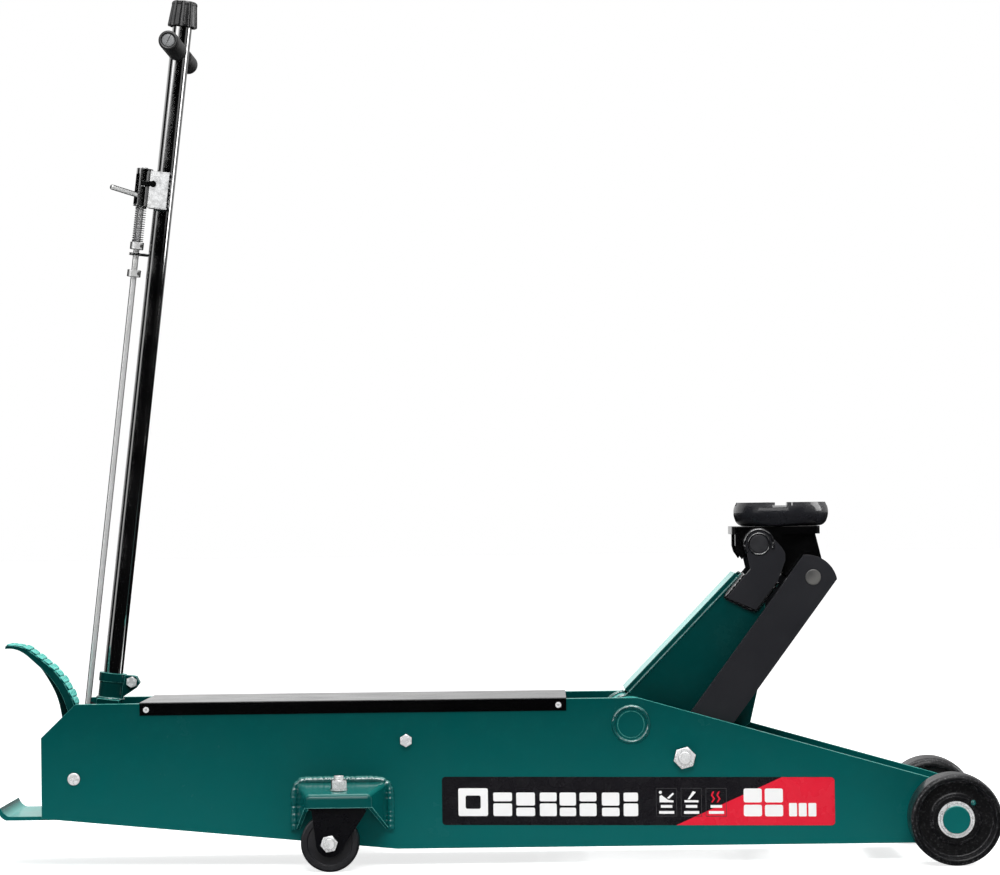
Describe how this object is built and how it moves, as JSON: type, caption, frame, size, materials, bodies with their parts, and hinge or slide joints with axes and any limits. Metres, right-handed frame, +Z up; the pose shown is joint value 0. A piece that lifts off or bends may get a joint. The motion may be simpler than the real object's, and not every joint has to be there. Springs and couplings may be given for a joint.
{
  "type": "floor jack",
  "caption": "Long-chassis hydraulic floor jack with parallel lift arm, round swivel saddle, upright pump handle, foot pedal and swivel rear casters.",
  "frame": {"origin": "on the floor, under the middle of the jack's bounding box with the arm raised", "axes": "+X towards the front wheels, +Y to the jack's left side, +Z up"},
  "size_m": [1.656, 0.424, 1.4617],
  "materials": {
    "green_paint": "gloss enamel",
    "black_paint": "satin paint",
    "cast_black": "painted rough casting",
    "black_nylon": "satin",
    "black_rubber": "matt",
    "zinc_plate": "bright zinc plate",
    "spring_steel": "oiled",
    "machined_steel": "ground"
  },
  "bodies": {
    "chassis": {"side_plate_right": "green_paint", "side_plate_left": "green_paint", "rear_step_plate": "green_paint", "frame_cross_ties": "green_paint", "arm_pivot_shaft": "green_paint", "front_axle": "green_paint", "axle_rings_and_spacers": "zinc_plate", "cover_plate": "black_paint", "frame_screws": "zinc_plate", "spring_anchor_bar": "black_paint", "caster_bracket_right": "green_paint", "caster_bracket_left": "green_paint", "caster_swivels": "zinc_plate", "link_pivot_bolts": "zinc_plate", "pedal_pivot_pin": "zinc_plate", "hydraulic_cylinder": "machined_steel", "reservoir_shell": "black_paint", "cylinder_head": "machined_steel", "pump_block": "black_paint", "valve_plugs": "zinc_plate", "handle_ears": "green_paint", "handle_pivot_studs": "zinc_plate", "return_springs": "spring_steel"},
    "ram": {"ram_rod": "machined_steel", "ram_piston": "machined_steel", "ram_pusher": "machined_steel"},
    "lift_arm": {"arm_side_cheeks": "green_paint", "arm_box_plates": "green_paint", "arm_pivot_tube": "green_paint", "saddle_lugs": "black_paint", "saddle_pivot_pin": "machined_steel", "roller_pin": "machined_steel"},
    "thrust_roller": {"thrust_roller": "machined_steel"},
    "radius_links": {"radius_links": "black_paint"},
    "saddle_bracket": {"saddle_bracket": "black_paint", "link_pin": "machined_steel"},
    "saddle": {"saddle_pad": "cast_black"},
    "front_wheel_right": {"front_wheel_right": "cast_black"},
    "front_wheel_left": {"front_wheel_left": "cast_black"},
    "caster_right": {"caster_fork_right": "black_paint", "caster_axle_right": "zinc_plate"},
    "caster_wheel_right": {"caster_wheel_right": "black_nylon"},
    "caster_left": {"caster_fork_left": "black_paint", "caster_axle_left": "zinc_plate"},
    "caster_wheel_left": {"caster_wheel_left": "black_nylon"},
    "handle": {"handle_socket": "green_paint", "clamp_bolt": "zinc_plate", "handle_tube": "black_paint", "cross_bar_grips": "black_rubber", "lock_guide_tube": "black_paint", "lock_guide_plate": "zinc_plate", "lock_spring": "spring_steel"},
    "release": {"release_knob": "black_nylon", "release_rod": "zinc_plate"},
    "release_valve": {"release_valve_spindle": "zinc_plate"},
    "lock_rod": {"lock_rod": "zinc_plate"},
    "foot_pedal": {"pedal_arm": "green_paint", "pedal_tread": "green_paint"},
    "pump_plunger": {"pump_plunger": "machined_steel"},
    "pedal_plunger": {"pedal_plunger": "machined_steel"}
  },
  "joints": [
    {"name": "lift", "type": "hinge", "parent": "chassis", "child": "lift_arm", "pos_m": [0.228, 0, 0.23], "axis": [0, -1, 0], "range_deg": [-68, 3], "deforming": ["return_springs"]},
    {"name": "radius_link_swing", "type": "hinge", "parent": "chassis", "child": "radius_links", "pos_m": [0.316, 0, 0.174], "axis": [0, -1, 0], "range_deg": [-68, 3]},
    {"name": "saddle_level", "type": "hinge", "parent": "lift_arm", "child": "saddle_bracket", "pos_m": [0.44689, 0, 0.52582], "axis": [0, -1, 0], "range_deg": [-3, 68]},
    {"name": "saddle_swivel", "type": "hinge", "parent": "saddle_bracket", "child": "saddle", "pos_m": [0.489, 0, 0.595], "axis": [0, 0, 1], "continuous": true},
    {"name": "roller_spin", "type": "hinge", "parent": "lift_arm", "child": "thrust_roller", "pos_m": [0.27945, 0, 0.15373], "axis": [0, -1, 0], "continuous": true},
    {"name": "ram_stroke", "type": "slide", "parent": "chassis", "child": "ram", "axis": [1, 0, 0], "range_m": [-0.103, 0.0047]},
    {"name": "front_wheel_spin_right", "type": "hinge", "parent": "chassis", "child": "front_wheel_right", "pos_m": [0.753, -0.173, 0.075], "axis": [0, 1, 0], "continuous": true},
    {"name": "front_wheel_spin_left", "type": "hinge", "parent": "chassis", "child": "front_wheel_left", "pos_m": [0.753, 0.173, 0.075], "axis": [0, 1, 0], "continuous": true},
    {"name": "caster_swivel_right", "type": "hinge", "parent": "chassis", "child": "caster_right", "pos_m": [-0.254, -0.174, 0.114], "axis": [0, 0, 1], "continuous": true},
    {"name": "caster_spin_right", "type": "hinge", "parent": "caster_right", "child": "caster_wheel_right", "pos_m": [-0.269, -0.174, 0.048], "axis": [0, 1, 0], "continuous": true},
    {"name": "caster_swivel_left", "type": "hinge", "parent": "chassis", "child": "caster_left", "pos_m": [-0.254, 0.174, 0.114], "axis": [0, 0, 1], "continuous": true},
    {"name": "caster_spin_left", "type": "hinge", "parent": "caster_left", "child": "caster_wheel_left", "pos_m": [-0.269, 0.174, 0.048], "axis": [0, 1, 0], "continuous": true},
    {"name": "handle_swing", "type": "hinge", "parent": "chassis", "child": "handle", "pos_m": [-0.6591, 0, 0.204], "axis": [0, -1, 0], "range_deg": [0, 66]},
    {"name": "pump_stroke", "type": "slide", "parent": "chassis", "child": "pump_plunger", "axis": [1, 0, 0], "range_m": [0, 0.0352]},
    {"name": "release_turn", "type": "hinge", "parent": "handle", "child": "release", "pos_m": [-0.6591, 0, 0.204], "axis": [0.1174, 0, 0.9931], "range_deg": [0, 360]},
    {"name": "valve_turn", "type": "hinge", "parent": "chassis", "child": "release_valve", "pos_m": [-0.6591, 0, 0.204], "axis": [0.1174, 0, 0.9931], "range_deg": [0, 360]},
    {"name": "lock_slide", "type": "slide", "parent": "handle", "child": "lock_rod", "axis": [0.1174, 0, 0.9931], "range_m": [-0.006, 0.02], "deforming": ["lock_spring"]},
    {"name": "pedal_press", "type": "hinge", "parent": "chassis", "child": "foot_pedal", "pos_m": [-0.6986, 0, 0.1505], "axis": [0, -1, 0], "range_deg": [0, 28]},
    {"name": "pedal_stroke", "type": "slide", "parent": "chassis", "child": "pedal_plunger", "axis": [1, 0, 0], "range_m": [0, 0.0172]}
  ],
  "couplings": [
    {"joint": "radius_link_swing", "follows": "lift", "ratio": 1},
    {"joint": "saddle_level", "follows": "lift", "ratio": -1},
    {"joint": "ram_stroke", "follows": "lift", "m_per_rad": 0.0867},
    {"joint": "pump_stroke", "follows": "handle_swing", "m_per_rad": 0.0304},
    {"joint": "valve_turn", "follows": "release_turn", "ratio": 1},
    {"joint": "pedal_stroke", "follows": "pedal_press", "m_per_rad": 0.0347}
  ]
}
